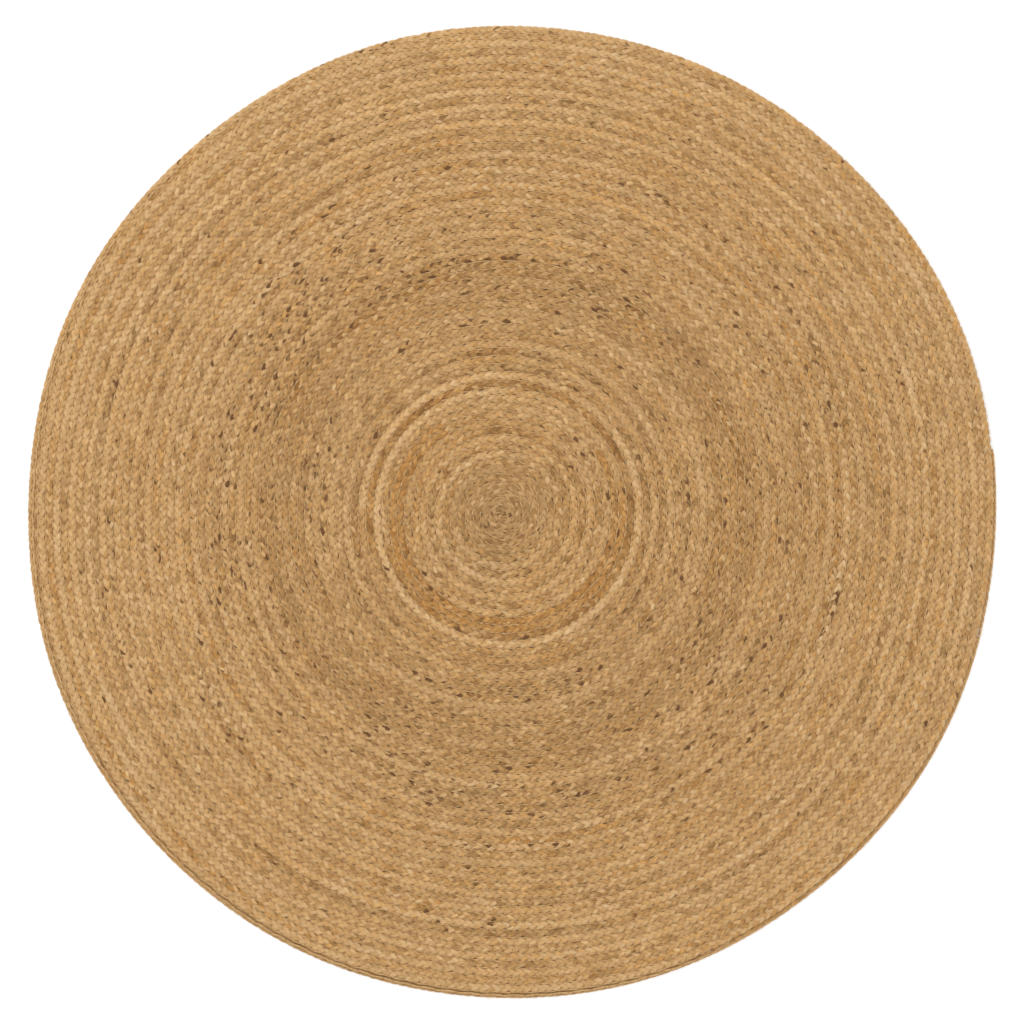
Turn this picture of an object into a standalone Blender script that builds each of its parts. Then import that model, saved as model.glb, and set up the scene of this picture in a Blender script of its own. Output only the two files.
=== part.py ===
"""Round braided jute rug: two plaits coiled side by side and sewn row to row.

The rug lies on the plane z = 0 with its outline centred on the origin. A pale plait and a golden
plait leave the eye of the coil on opposite sides and run outward together, anticlockwise seen
from above, so that pale and golden rows alternate along every radius. Each plait is made up of
spliced lengths. A sewing thread lies in the groove under the inner edge of each plait and holds
it to the row inside it. Over the last turn both plaits are thinned, which keeps the outline round.

Every row is a chain of straight facets whose corners stand on shared directions from the eye, so
rows never cross. A place along a plait is its station, counted in steps of one facet of the
finest division, from the direction where the plait's inner edge leaves the eye.
"""
import math

import bmesh
import bpy
from mathutils import Vector

# Driving dimensions, in metres
RUG_DIAMETER = 1.500
BRAID_THICKNESS = 0.009
BRAID_WIDTH = 0.0121          # one row, as plaited; the rows are drawn up to fill the radius
SEAM_GAP = 0.0003             # clear space between two rows
SPLICE_GAP = 0.0003           # clear space between the ends of two lengths of a plait
GROOVE_DEPTH = 0.0008         # how far a row's sides lean in at the bottom
EYE_RADIUS = 0.0005           # hole left at the eye of the coil
EYE_OFFSET = Vector((-0.016, -0.003, 0.0))
THREAD_HEIGHT = 0.0014
THREAD_LIFT = 0.0006          # the thread's clearance from the floor
THREAD_CLEARANCE = 0.0003     # between the foot of the thread and each side of its groove

# How the coil is laid
START_DIRECTION = math.radians(232.5)
LENGTHS_PER_BRAID = 12
LENGTHS_PER_THREAD = 6
FINE_STEPS = 48               # facets in a turn, at the rim
MIDDLE_EVERY = 2              # steps to a facet in the middle turns
COARSE_EVERY = 4              # steps to a facet in the first turns
COARSE_TURNS = 4
FINE_TURNS = 1.5
TIP_STEPS = 20                # how far a plait's tapered tip reaches back around the eye
GOLDEN_CUT_STEPS = 9          # where the golden tail is cut, before the rows would vanish
PALE_CUT_STEPS = 6
THREAD_START_STEPS = 16
THREAD_CUT_STEPS = 16
GROOVE_SHARE = 0.25           # on a thinned tail a side leans in by at most this share of the width

# Worked out from the values above
RUG_RADIUS = RUG_DIAMETER / 2
ROWS = round(RUG_RADIUS / BRAID_WIDTH)
ROW_PITCH = (RUG_RADIUS + SEAM_GAP) / ROWS
ROW_WIDTH = ROW_PITCH - SEAM_GAP
GROOVE_AT_THREAD = SEAM_GAP + 2 * GROOVE_DEPTH * (1 - THREAD_LIFT / BRAID_THICKNESS)
THREAD_WIDTH = GROOVE_AT_THREAD - 2 * THREAD_CLEARANCE
TURNS = (ROWS + 1) / 2
STEP_ANGLE = math.tau / FINE_STEPS
HALF_TURN_STEPS = FINE_STEPS // 2
PALE_VANISH = round(TURNS * FINE_STEPS)
GOLDEN_VANISH = PALE_VANISH - HALF_TURN_STEPS
FINE_FROM = round((TURNS - FINE_TURNS) * FINE_STEPS / COARSE_EVERY) * COARSE_EVERY

PALE_COLOUR = (0.56, 0.35, 0.17, 1.0)
GOLDEN_COLOUR = (0.46, 0.27, 0.11, 1.0)
THREAD_COLOUR = (0.60, 0.44, 0.26, 1.0)
JUTE_ROUGHNESS = 0.9


def clear_scene():
    """Remove the objects that the scene opens with."""
    for old in list(bpy.data.objects):
        bpy.data.objects.remove(old, do_unlink=True)


def make_material(name, colour):
    """Return a matt fibre material of one colour."""
    material = bpy.data.materials.new(name)
    material.use_nodes = True
    shader = material.node_tree.nodes["Principled BSDF"]
    shader.inputs["Base Color"].default_value = colour
    shader.inputs["Roughness"].default_value = JUTE_ROUGHNESS
    shader.inputs["Metallic"].default_value = 0.0
    return material


def spiral_radius(station):
    """Return how far the coil's even spiral has grown from the eye at a station."""
    return 2 * ROW_PITCH * station / FINE_STEPS


def golden_edges(station):
    """Return the inner and outer radius of the golden plait at a station."""
    inner = spiral_radius(station)
    if station < GOLDEN_VANISH - FINE_STEPS:
        return max(inner, EYE_RADIUS), inner + ROW_WIDTH
    return inner, inner + (RUG_RADIUS - inner - SEAM_GAP) / 2


def pale_edges(station):
    """Return the inner and outer radius of the pale plait at a station.

    In the last turn it shares the room that is left inside the rim with the golden plait, and
    past the golden plait's end it has that room to itself.
    """
    inner = spiral_radius(station)
    if station < PALE_VANISH - FINE_STEPS:
        return max(inner, EYE_RADIUS), inner + ROW_WIDTH
    golden_station = station - HALF_TURN_STEPS
    if golden_station > GOLDEN_VANISH - GOLDEN_CUT_STEPS:
        return spiral_radius(golden_station), RUG_RADIUS
    return golden_edges(golden_station)[1] + SEAM_GAP, RUG_RADIUS


class Plait:
    """One of the two plaits: its name, its edges, where it starts and where it is cut."""

    def __init__(self, name, edges, turned_by, cut_station):
        self.name = name
        self.edges = edges
        self.start_direction = START_DIRECTION + turned_by
        self.cut_station = cut_station

    def direction(self, station):
        """Return the vector from the eye that one metre of radius covers at a station."""
        angle = self.start_direction + station * STEP_ANGLE
        return Vector((math.cos(angle), math.sin(angle), 0)) - EYE_OFFSET / RUG_RADIUS

    def row_corner(self, station, across, up):
        """Return a corner of the row's section; across and up are -0.5 or 0.5."""
        inner, outer = self.edges(station)
        width = outer - inner
        lean = min(GROOVE_DEPTH, width * GROOVE_SHARE) * (0.5 - up)
        radius = (inner + outer) / 2 + across * (width - 2 * lean)
        return self.direction(station) * radius + Vector((0, 0, BRAID_THICKNESS * (up + 0.5)))

    def thread_corner(self, station, across, up):
        """Return a corner of the sewing thread's section, which lies in the seam's groove."""
        seam = self.edges(station)[0] - SEAM_GAP / 2
        radius = seam + across * THREAD_WIDTH
        height = THREAD_LIFT + THREAD_HEIGHT * (up + 0.5)
        return self.direction(station) * radius + Vector((0, 0, height))


def facet_steps(station):
    """Return how many steps the facet that starts at a station spans."""
    if station < COARSE_TURNS * FINE_STEPS:
        return COARSE_EVERY
    if station < FINE_FROM:
        return MIDDLE_EVERY
    return 1


def stations_between(first, last):
    """Return the stations of the facets' ends from first to last."""
    stations = [first]
    while stations[-1] < last:
        stations.append(min(stations[-1] + facet_steps(stations[-1]), last))
    return stations


def splice_stations(first, last, lengths):
    """Return the ends of equally long lengths, a coil's length growing as its turns squared."""
    splices = [first]
    for number in range(1, lengths):
        station = last * math.sqrt(number / lengths)
        splices.append(round(station / COARSE_EVERY) * COARSE_EVERY)
    return splices + [last]


def straight_bar(facets):
    """Return a straight four-sided bar along X, cut into facets, one unit each way."""
    bar = bmesh.new()
    bmesh.ops.create_cube(bar, size=1.0)
    return cut_into_facets(bar, facets)


def straight_thread(facets):
    """Return a straight three-sided thread along X with its ridge up, one unit each way."""
    thread = bmesh.new()
    made = bmesh.ops.create_cone(thread, cap_ends=True, segments=3, radius1=1, radius2=1, depth=1)
    for vert in made["verts"]:
        vert.co = Vector((vert.co.z, vert.co.x, vert.co.y))
    low = min(vert.co.z for vert in made["verts"])
    high = max(vert.co.z for vert in made["verts"])
    half_width = max(vert.co.y for vert in made["verts"])
    for vert in made["verts"]:
        vert.co.y /= 2 * half_width
        vert.co.z = (vert.co.z - low) / (high - low) - 0.5
    return cut_into_facets(thread, facets)


def cut_into_facets(bar, facets):
    """Cut the edges that run along X into equal facets."""
    along = [edge for edge in bar.edges if abs(edge.verts[0].co.x - edge.verts[1].co.x) > 0.5]
    if facets > 1:
        bmesh.ops.subdivide_edges(bar, edges=along, cuts=facets - 1)
    return bar


def coil_up(bar, stations, corner):
    """Lay a straight bar along the coil and draw its two ends in by half a splice gap.

    Along, outward and up make a left-handed set, so the laid faces are turned round again.
    """
    facets = len(stations) - 1
    rings = [round((vert.co.x + 0.5) * facets) for vert in bar.verts]
    laid = []
    for vert, ring in zip(bar.verts, rings):
        across, up = vert.co.y, vert.co.z
        point = corner(stations[ring], across, up)
        if ring in (0, facets):
            neighbour = 1 if ring == 0 else facets - 1
            inward = corner(stations[neighbour], across, up) - point
            point = point + inward.normalized() * SPLICE_GAP / 2
        laid.append(point)
    for vert, point in zip(bar.verts, laid):
        vert.co = point
    bmesh.ops.reverse_faces(bar, faces=bar.faces[:])


def add_piece(name, bar, material, collection, centre):
    """Make a bar an object of its own, placed at the eye and hung on the rug's centre."""
    mesh = bpy.data.meshes.new(name)
    bar.to_mesh(mesh)
    bar.free()
    mesh.materials.append(material)
    piece = bpy.data.objects.new(name, mesh)
    piece.location = EYE_OFFSET
    piece.parent = centre
    collection.objects.link(piece)
    return piece


def build_braid(plait, material, collection, centre):
    """Build the spliced lengths of one plait."""
    splices = splice_stations(-TIP_STEPS, plait.cut_station, LENGTHS_PER_BRAID)
    for number, (first, last) in enumerate(zip(splices, splices[1:]), start=1):
        stations = stations_between(first, last)
        bar = straight_bar(len(stations) - 1)
        coil_up(bar, stations, plait.row_corner)
        add_piece(f"{plait.name}_braid_{number:02d}", bar, material, collection, centre)


def build_seam_thread(plait, vanish_station, material, collection, centre):
    """Build the lengths of thread that sew one plait to the row inside it."""
    last_station = vanish_station - THREAD_CUT_STEPS
    splices = splice_stations(THREAD_START_STEPS, last_station, LENGTHS_PER_THREAD)
    for number, (first, last) in enumerate(zip(splices, splices[1:]), start=1):
        stations = stations_between(first, last)
        thread = straight_thread(len(stations) - 1)
        coil_up(thread, stations, plait.thread_corner)
        add_piece(f"{plait.name}_seam_thread_{number:02d}", thread, material, collection, centre)


def main():
    """Build the rug."""
    clear_scene()
    collection = bpy.data.collections.new("braided_rug")
    bpy.context.scene.collection.children.link(collection)
    centre = bpy.data.objects.new("rug_centre", None)
    collection.objects.link(centre)

    pale = Plait("pale", pale_edges, 0.0, PALE_VANISH - PALE_CUT_STEPS)
    golden = Plait("golden", golden_edges, math.pi, GOLDEN_VANISH - GOLDEN_CUT_STEPS)
    thread_material = make_material("seam_thread", THREAD_COLOUR)
    build_braid(pale, make_material("pale_jute", PALE_COLOUR), collection, centre)
    build_braid(golden, make_material("golden_jute", GOLDEN_COLOUR), collection, centre)
    build_seam_thread(pale, PALE_VANISH, thread_material, collection, centre)
    build_seam_thread(golden, GOLDEN_VANISH, thread_material, collection, centre)


main()
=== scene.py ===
"""Looks of a round braided jute rug: plaited strands, sewing twine, stray fibres and a studio.

Two plaits of three jute strands each are coiled side by side from an off-centre eye. Every
strand is a swept tube that weaves over and under its two neighbours, so the surface is real
plaited relief on both faces. Lengths are in metres, and a place along a plait is given in turns
of the coil from the direction where the plait's inner edge leaves the eye.
"""
import enum
import logging
import math
from dataclasses import dataclass

import bmesh
import bpy
import numpy as np
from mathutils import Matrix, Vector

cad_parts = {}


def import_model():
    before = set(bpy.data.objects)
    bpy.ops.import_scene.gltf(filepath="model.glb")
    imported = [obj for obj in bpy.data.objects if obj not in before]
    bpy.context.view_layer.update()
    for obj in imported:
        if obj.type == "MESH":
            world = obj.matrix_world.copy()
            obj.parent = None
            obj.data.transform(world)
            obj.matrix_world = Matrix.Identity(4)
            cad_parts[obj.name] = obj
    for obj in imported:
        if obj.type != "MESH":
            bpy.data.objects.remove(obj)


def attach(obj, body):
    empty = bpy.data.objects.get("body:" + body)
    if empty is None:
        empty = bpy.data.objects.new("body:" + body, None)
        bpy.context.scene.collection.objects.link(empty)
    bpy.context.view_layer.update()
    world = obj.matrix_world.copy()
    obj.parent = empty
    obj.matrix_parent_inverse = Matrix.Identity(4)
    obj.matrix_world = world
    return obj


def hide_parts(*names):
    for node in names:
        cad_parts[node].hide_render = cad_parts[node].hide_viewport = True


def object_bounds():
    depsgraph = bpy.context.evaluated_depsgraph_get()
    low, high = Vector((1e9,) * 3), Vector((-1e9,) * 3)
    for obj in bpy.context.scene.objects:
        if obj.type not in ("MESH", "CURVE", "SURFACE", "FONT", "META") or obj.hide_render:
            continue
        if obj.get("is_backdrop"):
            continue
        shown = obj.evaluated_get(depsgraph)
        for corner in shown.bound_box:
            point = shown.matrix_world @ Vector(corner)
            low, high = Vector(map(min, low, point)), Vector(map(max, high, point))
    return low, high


LOG = logging.getLogger("braided_rug")
BODY = "root"
DYE_CARD_WHITE = 255
DYE_CARD_CURVE = 2.2
SPARE_DRAWS = 4  # beyond the length that they are for
Colour = tuple[float, float, float]
WHITE: Colour = (1.0, 1.0, 1.0)


class Side(enum.Enum):
    """The two plaits, which leave the eye on opposite sides."""

    PALE = "pale"
    GOLDEN = "golden"


def linear(red: int, green: int, blue: int) -> Colour:
    """Turn a colour as a dye card gives it, 0 to 255, into linear light.

    Args:
        red: Red, 0 to 255.
        green: Green, 0 to 255.
        blue: Blue, 0 to 255.

    Returns:
        The colour's three linear values.
    """
    return tuple((value / DYE_CARD_WHITE) ** DYE_CARD_CURVE for value in (red, green, blue))


# --------------------------------------------------------------------------------------------
# The coil
# --------------------------------------------------------------------------------------------


@dataclass(frozen=True)
class Ripple:
    """One slow wave of the rug's outline: how many lobes, how high, and where one peaks."""

    lobes: int
    height: float
    peak: float


@dataclass(frozen=True)
class Coil:
    """Where the rows of the rug lie, seen from above."""

    radius: float
    thickness: float
    rows: int = 62  # along a radius
    gap: float = 0.0003  # between rows, and between the ends of two lengths
    eye_hole: float = 0.0005
    eye_x: float = -0.016
    eye_y: float = -0.003
    start: float = math.radians(232.5)
    steps: int = 48  # in a turn, the unit of the sizes below
    splice_every: int = 4
    tip_steps: int = 20  # how far a plait's tip reaches back round the eye
    golden_cut_steps: int = 9
    pale_cut_steps: int = 6
    closing_steps: float = 0.35  # in which the pale tail takes up the golden tail's room
    ripples: tuple[Ripple, ...] = (
        Ripple(1, 0.0005, math.radians(65)),
        Ripple(2, 0.0010, math.radians(70)),
        Ripple(3, 0.0007, math.radians(3)),
        Ripple(4, 0.0006, math.radians(33)),
        Ripple(5, 0.0006, math.radians(20)),
        Ripple(6, 0.0009, math.radians(30)),
        Ripple(8, 0.0010, math.radians(18)),
    )

    @property
    def pitch(self) -> float:
        """The distance from one row to the next."""
        return (self.radius + self.gap) / self.rows

    @property
    def row_width(self) -> float:
        """The full width of a row."""
        return self.pitch - self.gap

    def vanish(self, side: Side) -> float:
        """Return the turn at which a plait's tapered tail would be thinned to nothing."""
        whole = (self.rows + 1) / 2
        return whole if side is Side.PALE else whole - 0.5

    def cut(self, side: Side) -> float:
        """Return the turn at which a plait's tail is cut."""
        steps = self.pale_cut_steps if side is Side.PALE else self.golden_cut_steps
        return self.vanish(side) - steps / self.steps

    def splices(self, first: float, last: float, lengths: int) -> list[float]:
        """Return the ends, in turns, of equally long lengths between two turns.

        Args:
            first: Where the first length starts.
            last: Where the last length ends.
            lengths: How many lengths there are.

        Returns:
            One more number than there are lengths.
        """
        grid = self.splice_every / self.steps
        inner = [round(last * math.sqrt(n / lengths) / grid) * grid for n in range(1, lengths)]
        return [first, *inner, last]

    def edges(self, side: Side, turns: np.ndarray) -> tuple[np.ndarray, np.ndarray]:
        """Return the inner and outer radius of a plait, measured from the eye.

        Args:
            side: Which plait.
            turns: Places along it.

        Returns:
            The inner and the outer radius at each place.
        """
        if side is Side.GOLDEN:
            inner = 2 * self.pitch * turns
            thinned = inner + (self.radius - inner - self.gap) / 2
            full = inner + self.row_width
            outer = np.where(turns < self.vanish(side) - 1, full, thinned)
            return np.maximum(inner, self.eye_hole), outer
        inner = 2 * self.pitch * turns
        golden_inner, golden_outer = self.edges(Side.GOLDEN, turns - 0.5)
        past = (turns - 0.5 - self.cut(Side.GOLDEN)) * self.steps / self.closing_steps
        past = np.clip(past, 0, 1)
        shared = golden_outer + self.gap
        tail_inner = shared + (golden_inner - shared) * past
        tail = turns >= self.vanish(side) - 1
        inner = np.where(tail, tail_inner, inner)
        outer = np.where(tail, self.radius, inner + self.row_width)
        return np.maximum(inner, self.eye_hole), outer

    def place(self, side: Side, turns: np.ndarray, radius: np.ndarray) -> np.ndarray:
        """Return points on the rug's plan.

        Args:
            side: Which plait's turns these are.
            turns: Places along it.
            radius: Distances from the eye.

        Returns:
            One row of x and y for each place.
        """
        angle = self.start + math.tau * turns + (math.pi if side is Side.GOLDEN else 0)
        x = self.eye_x + radius * (np.cos(angle) - self.eye_x / self.radius)
        y = self.eye_y + radius * (np.sin(angle) - self.eye_y / self.radius)
        about = np.arctan2(y, x)
        outward = np.hypot(x, y) / self.radius
        swell = sum(r.height * np.cos(r.lobes * (about - r.peak)) for r in self.ripples)
        grown = 1 + swell * outward / self.radius
        return np.stack([x * grown, y * grown], axis=1)


class Ruler:
    """Measures along a plait's middle line, from its tip."""

    def __init__(self, coil: Coil, side: Side, first: float, last: float, marks: int = 40000):
        """Lay the ruler along a plait.

        Args:
            coil: The rug's coil.
            side: Which plait.
            first: The turn where the ruler starts.
            last: The turn where it ends.
            marks: How finely it is divided.
        """
        self.turns = np.linspace(first, last, marks)
        inner, outer = coil.edges(side, self.turns)
        arc = math.tau * (inner + outer) / 2 * np.gradient(self.turns)
        self.metres = np.concatenate([[0.0], np.cumsum((arc[1:] + arc[:-1]) / 2)])

    def at_turn(self, turn: float) -> float:
        """Return the distance in metres to a turn."""
        return float(np.interp(turn, self.turns, self.metres))

    def turn_at(self, metres: np.ndarray) -> np.ndarray:
        """Return the turns at these distances."""
        return np.interp(metres, self.metres, self.turns)


class Drift:
    """A smooth random value that changes slowly along a length."""

    def __init__(self, rng: np.random.Generator, length: float, every: float):
        """Draw the value's knots.

        Args:
            rng: The source of random numbers.
            length: The length that the value covers.
            every: The distance from knot to knot.
        """
        self.every = every
        self.knots = rng.uniform(-1, 1, int(length / every) + SPARE_DRAWS)

    def at(self, metres: np.ndarray) -> np.ndarray:
        """Return the value at these distances.

        Args:
            metres: Distances along the length.

        Returns:
            The value at each, from -1 to 1.
        """
        place = np.clip(metres / self.every, 0, len(self.knots) - 2)
        low = place.astype(int)
        part = place - low
        eased = part * part * (3 - 2 * part)
        return self.knots[low] * (1 - eased) + self.knots[low + 1] * eased


# --------------------------------------------------------------------------------------------
# The yarn's colours
# --------------------------------------------------------------------------------------------


@dataclass(frozen=True)
class Band:
    """A stretch of a plait whose yarn came out paler, darker, redder or with more bark in it."""

    side: Side
    first: float
    last: float
    tone: float = 0.0
    warmth: float = 0.0
    bark: float = 0.0


BANDS = (
    Band(Side.PALE, 0.0, 1.6, tone=-0.13, warmth=-0.25),
    Band(Side.PALE, 1.6, 2.9, tone=-0.14, warmth=-0.15),
    Band(Side.PALE, 3.6, 5.4, tone=0.08),
    Band(Side.PALE, 5.4, 6.6, tone=0.03, bark=0.2),
    Band(Side.PALE, 6.7, 7.4, tone=-0.08, warmth=0.4, bark=0.3),
    Band(Side.PALE, 7.6, 8.85, tone=0.15, warmth=-0.1, bark=-0.1),
    Band(Side.PALE, 9.3, 10.9, tone=0.09),
    Band(Side.PALE, 11.0, 11.9, tone=-0.03, bark=0.45),
    Band(Side.PALE, 12.0, 12.7, tone=0.03),
    Band(Side.PALE, 12.7, 14.4, tone=-0.09, bark=0.35),
    Band(Side.PALE, 14.4, 15.8, tone=-0.07, bark=0.3),
    Band(Side.PALE, 16.0, 16.9, tone=-0.03, bark=0.3),
    Band(Side.PALE, 16.9, 18.9, tone=0.01, bark=0.3),
    Band(Side.PALE, 18.9, 20.2, tone=0.04, bark=0.35),
    Band(Side.PALE, 20.2, 24.4, tone=0.035),
    Band(Side.PALE, 24.4, 26.9, tone=0.05),
    Band(Side.PALE, 26.9, 31.4, tone=0.02, bark=-0.4),
    Band(Side.GOLDEN, 0.0, 1.6, tone=-0.08, warmth=-0.25),
    Band(Side.GOLDEN, 1.6, 3.2, tone=-0.05, warmth=-0.1, bark=0.1),
    Band(Side.GOLDEN, 3.2, 4.0, tone=-0.05, bark=0.1),
    Band(Side.GOLDEN, 4.0, 5.6, tone=-0.01, bark=0.2),
    Band(Side.GOLDEN, 6.2, 6.95, tone=-0.13, warmth=0.4, bark=0.4),
    Band(Side.GOLDEN, 7.4, 8.4, tone=-0.07, warmth=0.35, bark=0.2),
    Band(Side.GOLDEN, 8.7, 9.9, tone=-0.08, bark=0.1),
    Band(Side.GOLDEN, 9.9, 11.9, tone=-0.04, bark=0.2),
    Band(Side.GOLDEN, 12.4, 16.4, tone=0.03, bark=0.25),
    Band(Side.GOLDEN, 16.4, 19.3, tone=0.01, bark=0.3),
    Band(Side.GOLDEN, 19.3, 21.0, tone=-0.02, bark=0.35),
    Band(Side.GOLDEN, 21.0, 24.9, tone=-0.01, bark=0.15),
    Band(Side.GOLDEN, 24.9, 26.9, tone=-0.05, bark=0.25),
    Band(Side.GOLDEN, 26.9, 31.4, bark=-0.4),
)


@dataclass(frozen=True)
class Spinning:
    """How uneven the yarn is: the length of its rovings, and how far their shades stray."""

    shortest_roving: float = 0.7
    longest_roving: float = 3.2
    drawn_every: float = 1.2  # one roving is drawn for each such length, which is enough
    tone_spread: float = 0.05
    tone_swing: float = 0.09
    tone_swings_every: float = 0.10
    warmth: float = 0.35
    warmth_spread: float = 0.14
    warmth_swing: float = 0.2
    warmth_swings_every: float = 0.05
    clean_bark: float = 0.18
    barky_share: float = 0.15
    barky_least: float = 0.5
    barky_most: float = 1.1
    bunching: float = 0.55
    bunch_swing: float = 0.9
    bunches_every: float = 0.16
    paler_from: float = 14.0  # the turn from which the yarn gets paler outward
    paler_by: float = 0.0062  # in each turn


class Yarn:
    """The shades of one strand, which is spun from rovings that follow each other."""

    def __init__(
        self,
        rng: np.random.Generator,
        length: float,
        side: Side,
        tone: float,
        spinning: Spinning = Spinning(),
    ):
        """Draw the strand's rovings.

        Args:
            rng: The source of random numbers.
            length: The strand's length.
            side: Which plait it is in.
            tone: The plait's usual tone, from 0, dark, to 1, pale.
            spinning: How uneven the yarn is.
        """
        count = int(length / spinning.drawn_every) + SPARE_DRAWS
        lengths = rng.uniform(spinning.shortest_roving, spinning.longest_roving, count)
        self.ends = np.cumsum(lengths)
        self.tones = tone + rng.normal(0, spinning.tone_spread, count)
        self.warmths = np.clip(rng.normal(spinning.warmth, spinning.warmth_spread, count), 0, 1)
        barky = rng.uniform(0, 1, count) < spinning.barky_share
        barks = rng.uniform(spinning.barky_least, spinning.barky_most, count)
        self.barks = np.where(barky, barks, spinning.clean_bark)
        self.side = side
        self.spinning = spinning
        self.tone_drift = Drift(rng, length, spinning.tone_swings_every)
        self.warmth_drift = Drift(rng, length, spinning.warmth_swings_every)
        self.bunch_drift = Drift(rng, length, spinning.bunches_every)

    def shades(self, metres: np.ndarray, turns: np.ndarray) -> np.ndarray:
        """Return the tone, warmth and bark at these places.

        Args:
            metres: Distances along the strand.
            turns: The same places in turns.

        Returns:
            One row of three values for each place.
        """
        spinning = self.spinning
        roving = np.clip(np.searchsorted(self.ends, metres), 0, len(self.ends) - 1)
        tone = self.tones[roving] + spinning.tone_swing * self.tone_drift.at(metres)
        tone = tone + spinning.paler_by * np.maximum(turns - spinning.paler_from, 0)
        warmth = self.warmths[roving] + spinning.warmth_swing * self.warmth_drift.at(metres)
        bunch = spinning.bunching + spinning.bunch_swing * self.bunch_drift.at(metres)
        bark = self.barks[roving]
        for band in BANDS:
            if band.side is self.side:
                inside = (turns >= band.first) & (turns <= band.last)
                tone = tone + inside * band.tone
                warmth = warmth + inside * band.warmth
                bark = bark + inside * band.bark
        bark = bark * np.maximum(bunch, 0)
        return np.clip(np.stack([tone, warmth, bark], axis=1), 0, 1)


# --------------------------------------------------------------------------------------------
# Finishes
# --------------------------------------------------------------------------------------------


@dataclass(frozen=True)
class Grain:
    """How a noise is drawn: how finely on each axis, and with how much detail."""

    stretch: tuple[float, float, float]
    detail: float


class NodeBench:
    """Lays out a material's nodes."""

    def __init__(self, name: str):
        """Start a material with a Principled shader.

        Args:
            name: The material's name.
        """
        self.material = bpy.data.materials.new(name)
        self.material.use_nodes = True
        self.tree = self.material.node_tree
        self.shader = self.tree.nodes["Principled BSDF"]

    def node(self, kind: str, **settings: object) -> bpy.types.Node:
        """Add a node.

        Args:
            kind: The node's type.
            **settings: Its properties.

        Returns:
            The node.
        """
        made = self.tree.nodes.new(kind)
        for key, value in settings.items():
            setattr(made, key, value)
        return made

    def feed(self, socket: bpy.types.NodeSocket, source: object) -> None:
        """Link a socket to another, or give it a value.

        Args:
            socket: The input socket.
            source: An output socket, or a value.
        """
        if isinstance(source, bpy.types.NodeSocket):
            self.tree.links.new(source, socket)
        else:
            socket.default_value = source

    def maths(self, operation: str, *values: object, clamp: bool = False) -> bpy.types.NodeSocket:
        """Work something out from one, two or three values.

        Args:
            operation: The Math node's operation.
            *values: What goes into it.
            clamp: Whether the result is held between 0 and 1.

        Returns:
            The result.
        """
        made = self.node("ShaderNodeMath", operation=operation, use_clamp=clamp)
        for socket, value in zip(made.inputs, values):
            self.feed(socket, value)
        return made.outputs[0]

    def swing(self, noise: object, strength: float) -> bpy.types.NodeSocket:
        """Return a noise drawn about nought at a strength."""
        return self.maths("MULTIPLY", self.maths("SUBTRACT", noise, 0.5), strength)

    def noise(self, vector: bpy.types.NodeSocket, grain: Grain) -> bpy.types.NodeSocket:
        """Draw a noise.

        Args:
            vector: The coordinates that it follows.
            grain: How it is drawn.

        Returns:
            The noise, about 0.5.
        """
        mapping = self.node("ShaderNodeMapping")
        self.feed(mapping.inputs["Vector"], vector)
        self.feed(mapping.inputs["Scale"], grain.stretch)
        made = self.node("ShaderNodeTexNoise")
        self.feed(made.inputs["Vector"], mapping.outputs[0])
        self.feed(made.inputs["Scale"], 1.0)
        self.feed(made.inputs["Detail"], grain.detail)
        return made.outputs["Fac"]

    def ramp(self, value: object, *stops: tuple[float, Colour]) -> bpy.types.NodeSocket:
        """Look a value up on a ramp of colours.

        Args:
            value: The value.
            *stops: Places on the ramp, each with its colour.

        Returns:
            The colour.
        """
        made = self.node("ShaderNodeValToRGB")
        self.feed(made.inputs[0], value)
        while len(made.color_ramp.elements) < len(stops):
            made.color_ramp.elements.new(0.5)
        for element, (place, colour) in zip(made.color_ramp.elements, stops):
            element.position = place
            element.color = (*colour, 1.0)
        return made.outputs["Color"]

    def mix(
        self, share: object, first: object, second: object, blend: str = "MIX"
    ) -> bpy.types.NodeSocket:
        """Blend two colours.

        Args:
            share: How much of the second colour, from 0 to 1.
            first: The first colour.
            second: The second colour.
            blend: The way they are blended.

        Returns:
            The blend.
        """
        made = self.node("ShaderNodeMix", data_type="RGBA", blend_type=blend)
        factor, colour_a, colour_b = made.inputs[0], made.inputs[6], made.inputs[7]
        self.feed(factor, share)
        self.feed(colour_a, first)
        self.feed(colour_b, second)
        return made.outputs[2]

    def relief(self, height: object, strength: float, depth: float) -> None:
        """Give the shader a fine relief.

        Args:
            height: How high the surface stands.
            strength: How much of the relief is shown.
            depth: The relief's depth.
        """
        bump = self.node("ShaderNodeBump")
        self.feed(bump.inputs["Strength"], strength)
        self.feed(bump.inputs["Distance"], depth)
        self.feed(bump.inputs["Height"], height)
        self.feed(self.shader.inputs["Normal"], bump.outputs[0])


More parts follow.
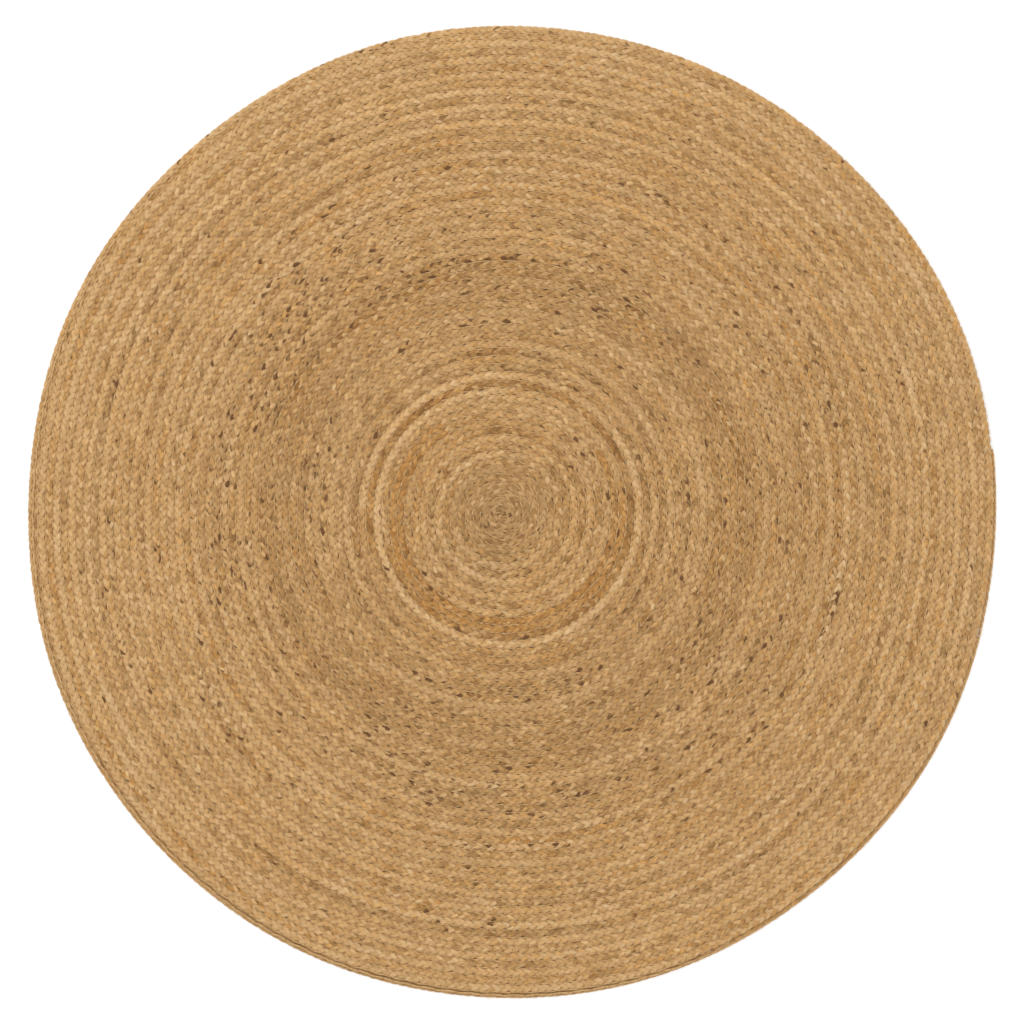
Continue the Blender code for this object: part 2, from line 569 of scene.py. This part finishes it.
@dataclass(frozen=True)
class JuteFinish:
    """Loosely twisted jute: fibre streaks, pale and golden blotches, and flecks of bark.

    On a strand's own coordinates the first axis runs along the fibre, and the others go round it.
    """

    name: str
    shade: Colour = linear(126, 92, 54)
    honey: Colour = linear(166, 128, 81)
    wheat: Colour = linear(190, 152, 104)
    straw: Colour = linear(209, 175, 128)
    cool: Colour = (0.97, 1.0, 1.07)
    rust: Colour = (1.0, 0.84, 0.56)
    bark: Colour = linear(98, 67, 40)
    streaks: Grain = Grain((50, 2200, 2200), detail=4)
    tufts: Grain = Grain((85, 170, 170), detail=2)
    patches: Grain = Grain((38, 60, 60), detail=1)
    blotches: Grain = Grain((34, 34, 34), detail=3)
    heat: Grain = Grain((26, 26, 90), detail=3)
    flecks: Grain = Grain((48, 100, 100), detail=1)
    streaky: float = 0.55
    tufty: float = 0.8
    patchy: float = 0.7
    blotchy: float = 0.35
    fickle: float = 0.9
    frayed: float = 0.3
    fleck_from: float = 0.715  # the noise level that makes a fleck in yarn without bark
    fleck_gain: float = 0.19  # how much lower it is in yarn full of bark
    fleck_edge: float = 11.0
    roughness: float = 0.85
    specular: float = 0.25
    sheen: float = 0.12
    sheen_roughness: float = 0.5
    sheen_tint: Colour = (1.0, 0.9, 0.75)
    relief: float = 0.5
    relief_depth: float = 0.0006

    def material(self) -> bpy.types.Material:
        """Build the material.

        Returns:
            The material, which reads the strand's own fibre and shade attributes.
        """
        bench = NodeBench(self.name)
        fibre = bench.node("ShaderNodeAttribute", attribute_name="fibre").outputs["Vector"]
        place = bench.node("ShaderNodeTexCoord").outputs["Object"]
        shades = bench.node("ShaderNodeSeparateColor")
        stored = bench.node("ShaderNodeAttribute", attribute_name="shades").outputs["Color"]
        bench.feed(shades.inputs[0], stored)
        tone, warmth, bark = shades.outputs

        streaks = bench.noise(fibre, self.streaks)
        tufts = bench.noise(fibre, self.tufts)
        colour = self._lay_shades(bench, tone, streaks, tufts, fibre, place)
        colour = self._warm(bench, colour, warmth, place)
        colour = self._fleck(bench, colour, bark, streaks, fibre)
        bench.feed(bench.shader.inputs["Base Color"], colour)
        bench.relief(bench.maths("ADD", streaks, tufts), self.relief, self.relief_depth)
        bench.feed(bench.shader.inputs["Roughness"], self.roughness)
        bench.feed(bench.shader.inputs["Specular IOR Level"], self.specular)
        bench.feed(bench.shader.inputs["Sheen Weight"], self.sheen)
        bench.feed(bench.shader.inputs["Sheen Roughness"], self.sheen_roughness)
        bench.feed(bench.shader.inputs["Sheen Tint"], (*self.sheen_tint, 1.0))
        return bench.material

    def _lay_shades(
        self,
        bench: NodeBench,
        tone: bpy.types.NodeSocket,
        streaks: bpy.types.NodeSocket,
        tufts: bpy.types.NodeSocket,
        fibre: bpy.types.NodeSocket,
        place: bpy.types.NodeSocket,
    ) -> bpy.types.NodeSocket:
        """Turn the yarn's tone, broken up by streaks, tufts, patches and blotches, into a colour.

        Args:
            bench: Where the nodes go.
            tone: The yarn's tone.
            streaks: The noise of single fibres.
            tufts: The noise of short tufts.
            fibre: Coordinates along and round the strand.
            place: Coordinates in the rug.

        Returns:
            The colour.
        """
        level = tone
        for noise, strength in (
            (streaks, self.streaky),
            (tufts, self.tufty),
            (bench.noise(fibre, self.patches), self.patchy),
            (bench.noise(place, self.blotches), self.blotchy),
        ):
            level = bench.maths("ADD", level, bench.swing(noise, strength))
        return bench.ramp(
            level, (0.05, self.shade), (0.40, self.honey), (0.65, self.wheat), (0.95, self.straw)
        )

    def _warm(
        self,
        bench: NodeBench,
        colour: bpy.types.NodeSocket,
        warmth: bpy.types.NodeSocket,
        place: bpy.types.NodeSocket,
    ) -> bpy.types.NodeSocket:
        """Tint a colour from cool to rusty.

        Args:
            bench: Where the nodes go.
            colour: The colour to tint.
            warmth: The yarn's warmth.
            place: Coordinates in the rug.

        Returns:
            The tinted colour.
        """
        heat = bench.swing(bench.noise(place, self.heat), self.fickle)
        heat = bench.maths("ADD", warmth, heat)
        tint = bench.ramp(heat, (0.0, self.cool), (0.35, WHITE), (1.0, self.rust))
        return bench.mix(1.0, colour, tint, "MULTIPLY")

    def _fleck(
        self,
        bench: NodeBench,
        colour: bpy.types.NodeSocket,
        bark: bpy.types.NodeSocket,
        streaks: bpy.types.NodeSocket,
        fibre: bpy.types.NodeSocket,
    ) -> bpy.types.NodeSocket:
        """Lay flecks of bark, frayed by the single fibres, over a colour.

        Args:
            bench: Where the nodes go.
            colour: The colour to lay them over.
            bark: How much bark the yarn holds.
            streaks: The noise of single fibres.
            fibre: Coordinates along and round the strand.

        Returns:
            The flecked colour.
        """
        flecks = bench.noise(fibre, self.flecks)
        flecks = bench.maths("ADD", flecks, bench.swing(streaks, self.frayed))
        edge = bench.maths("MULTIPLY_ADD", bark, -self.fleck_gain, self.fleck_from)
        above = bench.maths("SUBTRACT", flecks, edge)
        share = bench.maths("MULTIPLY", above, self.fleck_edge, clamp=True)
        return bench.mix(share, colour, (*self.bark, 1.0))


@dataclass(frozen=True)
class TwineFinish:
    """Plain twisted twine, mottled along its length."""

    name: str
    dark: Colour
    pale: Colour
    mottle: Grain = Grain((260, 260, 260), detail=3)
    fuzz: Grain = Grain((1800, 1800, 1800), detail=2)
    dark_at: float = 0.35
    pale_at: float = 0.65
    roughness: float = 0.9
    relief: float = 0.3
    relief_depth: float = 0.0003

    def material(self) -> bpy.types.Material:
        """Build the material.

        Returns:
            The material, which reads Object coordinates.
        """
        bench = NodeBench(self.name)
        place = bench.node("ShaderNodeTexCoord").outputs["Object"]
        mottle = bench.noise(place, self.mottle)
        colour = bench.ramp(mottle, (self.dark_at, self.dark), (self.pale_at, self.pale))
        bench.feed(bench.shader.inputs["Base Color"], colour)
        bench.relief(bench.noise(place, self.fuzz), self.relief, self.relief_depth)
        bench.feed(bench.shader.inputs["Roughness"], self.roughness)
        return bench.material


# --------------------------------------------------------------------------------------------
# Sweeping tubes
# --------------------------------------------------------------------------------------------


@dataclass
class Run:
    """One tube to sweep: its points, how thick it is at each, and what its skin carries."""

    points: np.ndarray
    thickness: np.ndarray
    along: np.ndarray
    shades: np.ndarray


@dataclass(frozen=True)
class Section:
    """A flattened round section of a tube."""

    width: float
    height: float
    sides: int

    def outline(self) -> bpy.types.Object:
        """Draw the section as a closed curve, wound so that a sweep faces outward.

        Returns:
            The curve's object, to be removed after the sweep.
        """
        curve = bpy.data.curves.new("section", "CURVE")
        curve.dimensions = "2D"
        spline = curve.splines.new("POLY")
        spline.points.add(self.sides - 1)
        for number, point in enumerate(spline.points):
            angle = -math.tau * (number + 0.5) / self.sides
            x, y = self.width / 2 * math.cos(angle), self.height / 2 * math.sin(angle)
            point.co = (x, y, 0, 1)
        spline.use_cyclic_u = True
        outline = bpy.data.objects.new("section", curve)
        bpy.context.scene.collection.objects.link(outline)
        return outline


class Sweeper:
    """Sweeps a section along many runs and returns one mesh."""

    def __init__(self, section: Section, twist: float = 0.0):
        """Set up the sweep.

        Args:
            section: The tubes' section.
            twist: How far the fibres run for one turn round the tube, or 0 for straight fibres.
        """
        self.section = section
        self.twist = twist

    def mesh(self, name: str, runs: list[Run]) -> bpy.types.Mesh:
        """Sweep the runs.

        Args:
            name: The mesh's name.
            runs: The tubes.

        Returns:
            A closed mesh, with its fibre and shade attributes and its own laid-out UV map.
        """
        outline = self.section.outline()
        curve = bpy.data.curves.new(name, "CURVE")
        curve.dimensions = "3D"
        curve.bevel_mode = "OBJECT"
        curve.bevel_object = outline
        curve.twist_mode = "Z_UP"
        curve.resolution_u = 1
        for run in runs:
            spline = curve.splines.new("POLY")
            spline.points.add(len(run.points) - 1)
            four = np.concatenate([run.points, np.ones((len(run.points), 1))], axis=1)
            spline.points.foreach_set("co", four.astype(np.float32).ravel())
            spline.points.foreach_set("radius", run.thickness.astype(np.float32))
            spline.use_smooth = True
        swept = bpy.data.objects.new(name, curve)
        bpy.context.scene.collection.objects.link(swept)
        graph = bpy.context.evaluated_depsgraph_get()
        mesh = bpy.data.meshes.new_from_object(swept.evaluated_get(graph))
        bpy.data.objects.remove(swept)
        bpy.data.objects.remove(outline)
        mesh.name = name
        self._mark_skin(mesh, runs)
        self._lay_out(mesh, runs)
        self._close_ends(mesh)
        return mesh

    def _mark_skin(self, mesh: bpy.types.Mesh, runs: list[Run]) -> None:
        """Give each vertex its place in the fibre and the yarn's shades there.

        Args:
            mesh: The swept mesh.
            runs: The tubes in it.
        """
        sides = self.section.sides
        along = np.repeat(np.concatenate([run.along for run in runs]), sides)
        shades = np.repeat(np.concatenate([run.shades for run in runs]), sides, axis=0)
        angle = np.tile(math.tau * np.arange(sides) / sides, len(along) // sides)
        if self.twist:
            angle = angle + math.tau * along / self.twist
        reach = (self.section.width + self.section.height) / 4
        fibre = np.stack([along, reach * np.cos(angle), reach * np.sin(angle)], axis=1)
        mesh.attributes.new("fibre", "FLOAT_VECTOR", "POINT")
        mesh.attributes["fibre"].data.foreach_set("vector", fibre.astype(np.float32).ravel())
        four = np.concatenate([shades, np.ones((len(shades), 1))], axis=1)
        mesh.attributes.new("shades", "FLOAT_COLOR", "POINT")
        mesh.attributes["shades"].data.foreach_set("color", four.astype(np.float32).ravel())

    def _lay_out(self, mesh: bpy.types.Mesh, runs: list[Run]) -> None:
        """Lay the tubes' skins side by side on one UV map, folded into even rows.

        A facet's corners keep together where a row is folded, and where the section's first
        vertex comes round again after its last.

        Args:
            mesh: The swept mesh.
            runs: The tubes in it.
        """
        sides = self.section.sides
        corners = np.empty(len(mesh.loops), np.int32)
        mesh.loops.foreach_get("vertex_index", corners)
        corners = corners.reshape(-1, 4)
        ring, side = corners // sides, corners % sides
        wraps = side.max(axis=1) - side.min(axis=1) == sides - 1
        side = np.where(wraps[:, None] & (side == 0), sides, side)
        facet = ring.min(axis=1)
        total = sum(len(run.points) for run in runs)
        per_row = max(1, round(math.sqrt(total * sides)))
        rows = math.ceil(total / per_row)
        across = (facet % per_row)[:, None] + (ring - facet[:, None])
        down = (facet // per_row)[:, None] + side / (sides + 0.5)
        places = np.stack([across / (per_row + 1), down / rows], axis=2)
        while mesh.uv_layers:
            mesh.uv_layers.remove(mesh.uv_layers[0])
        layer = mesh.uv_layers.new(name="OFBake")
        layer.uv.foreach_set("vector", places.astype(np.float32).ravel())

    @staticmethod
    def _close_ends(mesh: bpy.types.Mesh) -> None:
        """Cap the tubes' open ends.

        Args:
            mesh: The swept mesh.
        """
        work = bmesh.new()
        work.from_mesh(mesh)
        bmesh.ops.holes_fill(work, edges=[edge for edge in work.edges if edge.is_boundary])
        work.to_mesh(mesh)
        work.free()


def add_piece(mesh: bpy.types.Mesh, finish: bpy.types.Material) -> bpy.types.Object:
    """Make a mesh a piece of the rug.

    Args:
        mesh: The finished mesh, with its place in its vertices.
        finish: Its material.

    Returns:
        The piece, riding on the rug's one body.
    """
    mesh.materials.clear()
    mesh.materials.append(finish)
    piece = bpy.data.objects.new(mesh.name, mesh)
    bpy.context.scene.collection.objects.link(piece)
    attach(piece, BODY)
    LOG.info("%s: %d faces", piece.name, len(mesh.polygons))
    return piece


# --------------------------------------------------------------------------------------------
# The rug's sub-assemblies
# --------------------------------------------------------------------------------------------


@dataclass
class PlaitWork:
    """A plait of three strands, made in spliced lengths."""

    coil: Coil
    side: Side
    finish: bpy.types.Material
    tone: float
    seed: int
    lengths: int = 12
    strands: int = 3
    lay: float = 0.0347  # along the plait, from one crossing of a strand to its next like it
    strand_width: float = 0.0070
    strand_height: float = 0.0046
    meshing: float = 0.0011  # how far a row's strands reach in between its neighbours' strands
    points_per_lay: int = 10
    fewest_points: int = 4
    sides: int = 6
    fibre_twist: float = 0.055
    fibre_shift: float = 211.0  # sets the strands apart in the fibre's pattern
    thinnest: float = 0.42  # the tail at its end, as a share of a full plait
    tip_start: float = 0.6  # the strands at the tip in the eye, as a share
    tip_taper: float = 0.03
    unevenness: float = 0.10
    swells_every: float = 0.013
    slackness: float = 0.45
    wanders_every: float = 0.05
    sag: float = 0.0004  # by which the plait's top may stand lower
    sags_every: float = 0.09
    floor_gap: float = 0.00015

    def build(self) -> list[bpy.types.Object]:
        """Plait the lengths.

        Returns:
            The pieces, each standing for its CAD node.
        """
        first, last = -self.coil.tip_steps / self.coil.steps, self.coil.cut(self.side)
        ruler = Ruler(self.coil, self.side, first, last)
        whole = ruler.at_turn(last)
        rng = np.random.default_rng(self.seed)
        self.yarns = [Yarn(rng, whole, self.side, self.tone) for _ in range(self.strands)]
        self.wanders = [Drift(rng, whole, self.wanders_every) for _ in range(self.strands)]
        self.swells = [Drift(rng, whole, self.swells_every) for _ in range(self.strands)]
        self.hold = Drift(rng, whole, self.sags_every)
        section = Section(self.strand_width, self.strand_height, self.sides)
        sweeper = Sweeper(section, self.fibre_twist)
        splices = self.coil.splices(first, last, self.lengths)
        pieces = []
        for number, (start, end) in enumerate(zip(splices, splices[1:]), start=1):
            low = ruler.at_turn(start) + self.coil.gap / 2
            high = ruler.at_turn(end) - self.coil.gap / 2
            count = round((high - low) / self.lay * self.points_per_lay)
            metres = np.linspace(low, high, max(self.fewest_points, count))
            turns = ruler.turn_at(metres)
            runs = [self._strand(strand, metres, turns) for strand in range(self.strands)]
            mesh = sweeper.mesh(f"{self.side.value}_plait_{number:02d}", runs)
            piece = add_piece(mesh, self.finish)
            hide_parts(f"{self.side.value}_braid_{number:02d}")
            pieces.append(piece)
        return pieces

    def _strand(self, strand: int, metres: np.ndarray, turns: np.ndarray) -> Run:
        """Lay one strand of a length: in from the edge over the middle, and back out under it.

        Args:
            strand: Which of the strands, from 0.
            metres: Distances along the plait.
            turns: The same places in turns.

        Returns:
            The strand's run.
        """
        inner, outer = self.coil.edges(self.side, turns)
        tail = np.clip((outer - inner) / self.coil.row_width, self.thinnest, 1.0)
        scale = tail * np.minimum(self.tip_start + metres / self.tip_taper, 1.0)

        phase = math.tau * (metres / self.lay + strand / self.strands)
        phase = phase + self.slackness * self.wanders[strand].at(metres)
        width = outer - inner + self.meshing
        reach = np.maximum((width - self.strand_width * scale) / 2, 0)
        radius = (inner + outer) / 2 + reach * np.sin(phase)

        lowest = self.strand_height * scale * (1 + self.unevenness) / 2 + self.floor_gap
        climb = self.coil.thickness * tail / 2 - lowest
        sunk = self.sag * (1 + self.hold.at(metres)) / (4 * climb)
        height = lowest + climb * (1 - np.sin(2 * phase)) * (1 - sunk)

        plan = self.coil.place(self.side, turns, radius)
        points = np.concatenate([plan, height[:, None]], axis=1)
        thickness = scale * (1 + self.unevenness * self.swells[strand].at(metres))
        shades = self.yarns[strand].shades(metres, turns)
        return Run(points, thickness, metres + self.fibre_shift * strand, shades)


@dataclass
class SeamWork:
    """The twine that is stitched to and fro along a seam, between a plait and the row inside."""

    coil: Coil
    side: Side
    finish: bpy.types.Material
    lengths: int = 6
    tip_steps: int = 2
    clear_steps: int = 16  # how far short of the tail's thin end the twine stops
    twine: float = 0.0032
    sides: int = 6
    stitch: float = 0.0085  # a quarter of the stitch's beat
    fewest_points: int = 4
    reach: float = 0.0008
    low: float = 0.0045
    high: float = 0.0053

    def build(self) -> list[bpy.types.Object]:
        """Stitch the lengths.

        Returns:
            The pieces, each standing for its CAD node.
        """
        first = self.tip_steps / self.coil.steps
        last = self.coil.vanish(self.side) - self.clear_steps / self.coil.steps
        ruler = Ruler(self.coil, self.side, first, last)
        sweeper = Sweeper(Section(self.twine, self.twine, self.sides))
        splices = self.coil.splices(first, last, self.lengths)
        pieces = []
        for number, (start, end) in enumerate(zip(splices, splices[1:]), start=1):
            low, high = ruler.at_turn(start), ruler.at_turn(end)
            count = max(self.fewest_points, round((high - low) / self.stitch))
            metres = np.linspace(low + self.coil.gap, high - self.coil.gap, count)
            run = self._stitches(metres, ruler.turn_at(metres))
            mesh = sweeper.mesh(f"{self.side.value}_twine_{number:02d}", [run])
            piece = add_piece(mesh, self.finish)
            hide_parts(f"{self.side.value}_seam_thread_{number:02d}")
            pieces.append(piece)
        return pieces

    def _stitches(self, metres: np.ndarray, turns: np.ndarray) -> Run:
        """Lead the twine to and fro over the seam, up in the middle of each swing.

        Args:
            metres: Distances along the seam.
            turns: The same places in turns.

        Returns:
            The twine's run.
        """
        beat = np.arange(len(metres)) % 4
        swing = np.choose(beat, [-1.0, 0.0, 1.0, 0.0]) * self.reach
        height = np.where(beat % 2 == 0, self.high, self.low)
        seam = self.coil.edges(self.side, turns)[0] - self.coil.gap / 2
        plan = self.coil.place(self.side, turns, seam + swing)
        points = np.concatenate([plan, height[:, None]], axis=1)
        return Run(points, np.ones(len(metres)), metres, np.zeros((len(metres), 3)))


@dataclass
class StrayFibres:
    """Loose ends of fibre that stand off the plaits, over the face and round the rim."""

    coil: Coil
    finish: bpy.types.Material
    over_face: int = 4200
    round_rim: int = 900
    thickness: float = 0.00016
    sides: int = 3
    shortest: float = 0.006
    longest: float = 0.017
    bends: int = 4
    face_share: float = 0.985  # of the rug's radius
    face_lowest: float = 0.86  # as shares of the rug's thickness
    face_highest: float = 0.95
    face_stray: float = 0.6  # how far the headings stray from the rows
    rim_inset: float = 0.0012
    rim_lowest: float = 0.3
    rim_highest: float = 0.85
    rim_least_lean: float = 1.6
    rim_most_lean: float = 2.9
    curl: float = 1.1
    least_lift: float = 0.0006
    most_lift: float = 0.0026
    least_arch: float = 0.6
    tip_share: float = 0.45
    seed: int = 41

    def build(self) -> bpy.types.Object:
        """Scatter the fibres.

        Returns:
            One piece of all the fibres.
        """
        rng = np.random.default_rng(self.seed)
        runs = [self._fibre(rng, *self._on_face(rng)) for _ in range(self.over_face)]
        runs += [self._fibre(rng, *self._on_rim(rng)) for _ in range(self.round_rim)]
        sweeper = Sweeper(Section(self.thickness, self.thickness, self.sides))
        return add_piece(sweeper.mesh("stray_fibres", runs), self.finish)

    def _on_face(self, rng: np.random.Generator) -> tuple[np.ndarray, float]:
        """Draw a root on the upper face and a heading along the rows, give or take.

        Args:
            rng: The source of random numbers.

        Returns:
            The root and the heading.
        """
        radius = self.coil.radius * self.face_share * math.sqrt(rng.uniform())
        angle = rng.uniform(0, math.tau)
        height = self.coil.thickness * rng.uniform(self.face_lowest, self.face_highest)
        turn = rng.choice([0.5, -0.5]) * math.pi + rng.normal(0, self.face_stray)
        root = np.array([radius * math.cos(angle), radius * math.sin(angle), height])
        return root, angle + turn

    def _on_rim(self, rng: np.random.Generator) -> tuple[np.ndarray, float]:
        """Draw a root on the outer side and a heading that leans off the rim.

        Args:
            rng: The source of random numbers.

        Returns:
            The root and the heading.
        """
        radius = self.coil.radius - self.rim_inset
        angle = rng.uniform(0, math.tau)
        height = self.coil.thickness * rng.uniform(self.rim_lowest, self.rim_highest)
        side = rng.choice([0.5, -0.5])
        lean = rng.uniform(self.rim_least_lean, self.rim_most_lean)
        root = np.array([radius * math.cos(angle), radius * math.sin(angle), height])
        return root, angle + side * lean

    def _fibre(self, rng: np.random.Generator, root: np.ndarray, heading: float) -> Run:
        """Grow one fibre in a low arch from its root.

        Args:
            rng: The source of random numbers.
            root: Where it leaves the plait.
            heading: Which way it leaves, seen from above.

        Returns:
            The fibre's run.
        """
        length = rng.uniform(self.shortest, self.longest)
        curl = rng.normal(0, self.curl)
        lift = rng.uniform(self.least_lift, self.most_lift)
        steps = np.linspace(0, 1, self.bends)
        bearing = heading + curl * steps[:-1]
        stride = length / (self.bends - 1)
        strides = np.stack([np.cos(bearing), np.sin(bearing)], axis=1) * stride
        plan = root[:2] + np.concatenate([np.zeros((1, 2)), np.cumsum(strides, axis=0)])
        arch = math.pi * rng.uniform(self.least_arch, 1.0)
        height = root[2] + lift * np.sin(arch * steps)
        points = np.concatenate([plan, height[:, None]], axis=1)
        taper = np.linspace(1.0, self.tip_share, self.bends)
        return Run(points, taper, steps * length, np.zeros((self.bends, 3)))


@dataclass
class Studio:
    """A pale floor, soft light from all round, and a camera that looks straight down."""

    rug_radius: float
    rug_top: float
    floor_size: float = 60.0
    floor_tone: float = 0.95
    floor_roughness: float = 0.95
    sky_strength: float = 1.17
    key_power: float = 24.0
    key_size: float = 2.2
    key_place: tuple[float, float, float] = (-1.6, 1.9, 2.3)
    lens: float = 85.0
    sensor: float = 36.0
    rug_share: float = 0.9502  # of the frame's width
    aim_x: float = 0.0005
    aim_y: float = 0.0009

    def build(self) -> None:
        """Set the floor, the lights and the camera."""
        self._floor()
        self._sky()
        self._key_light()
        self._camera()
        bpy.context.scene.view_settings.view_transform = "Standard"
        bpy.context.scene.view_settings.look = "None"

    def _floor(self) -> None:
        """Lay a plain matt floor that reaches past every view."""
        work = bmesh.new()
        bmesh.ops.create_grid(work, x_segments=1, y_segments=1, size=self.floor_size / 2)
        mesh = bpy.data.meshes.new("floor")
        work.to_mesh(mesh)
        work.free()
        bench = NodeBench("floor_paint")
        bench.feed(bench.shader.inputs["Base Color"], (*(self.floor_tone,) * 3, 1.0))
        bench.feed(bench.shader.inputs["Roughness"], self.floor_roughness)
        bench.feed(bench.shader.inputs["Specular IOR Level"], 0.0)
        mesh.materials.append(bench.material)
        floor = bpy.data.objects.new("floor", mesh)
        bpy.context.scene.collection.objects.link(floor)
        floor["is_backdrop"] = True

    def _sky(self) -> None:
        """Light the scene evenly from all round."""
        world = bpy.data.worlds.new("studio")
        world.use_nodes = True
        sky = world.node_tree.nodes["Background"]
        sky.inputs["Color"].default_value = (*WHITE, 1.0)
        sky.inputs["Strength"].default_value = self.sky_strength
        bpy.context.scene.world = world

    def _key_light(self) -> None:
        """Hang one large soft lamp up and to the left, aimed at the rug."""
        lamp = bpy.data.lights.new("key", "AREA")
        lamp.energy = self.key_power
        lamp.size = self.key_size
        key = bpy.data.objects.new("key", lamp)
        key.location = self.key_place
        key.rotation_euler = (-key.location).to_track_quat("-Z", "Y").to_euler()
        bpy.context.scene.collection.objects.link(key)

    def _camera(self) -> None:
        """Hang the camera over the rug, so far up that the rug fills its share of the frame."""
        view = bpy.data.cameras.new("camera")
        view.lens = self.lens
        view.sensor_width = self.sensor
        view.clip_end = self.floor_size * 2
        half_view = self.rug_radius / self.rug_share
        height = self.rug_top + half_view * self.lens / (self.sensor / 2)
        camera = bpy.data.objects.new("camera", view)
        camera.location = (self.aim_x, self.aim_y, height)
        bpy.context.scene.collection.objects.link(camera)
        bpy.context.scene.camera = camera


def main() -> None:
    """Load the frame, set the studio, dress the rug and note its size."""
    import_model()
    cad_low, cad_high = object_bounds()
    LOG.info("CAD box %s to %s", tuple(cad_low), tuple(cad_high))
    coil = Coil(radius=(cad_high.x - cad_low.x) / 2, thickness=cad_high.z - cad_low.z)
    Studio(rug_radius=coil.radius, rug_top=coil.thickness).build()

    pale = JuteFinish("pale_jute_yarn", tufty=0.5, patchy=0.5, blotchy=0.25).material()
    golden = JuteFinish("golden_jute_yarn", tufty=0.75, patchy=1.0, blotchy=0.5).material()
    PlaitWork(coil, Side.PALE, pale, tone=0.485, seed=11).build()
    PlaitWork(coil, Side.GOLDEN, golden, tone=0.43, seed=23).build()
    twine = TwineFinish("sewing_twine", linear(160, 124, 80), linear(196, 158, 108)).material()
    for side in Side:
        SeamWork(coil, side, twine).build()
    wisps = TwineFinish("loose_fibre", linear(196, 160, 108), linear(232, 204, 158)).material()
    StrayFibres(coil, wisps).build()


if __name__ == "__main__":
    logging.basicConfig(level=logging.INFO, format="%(name)s: %(message)s")
    main()
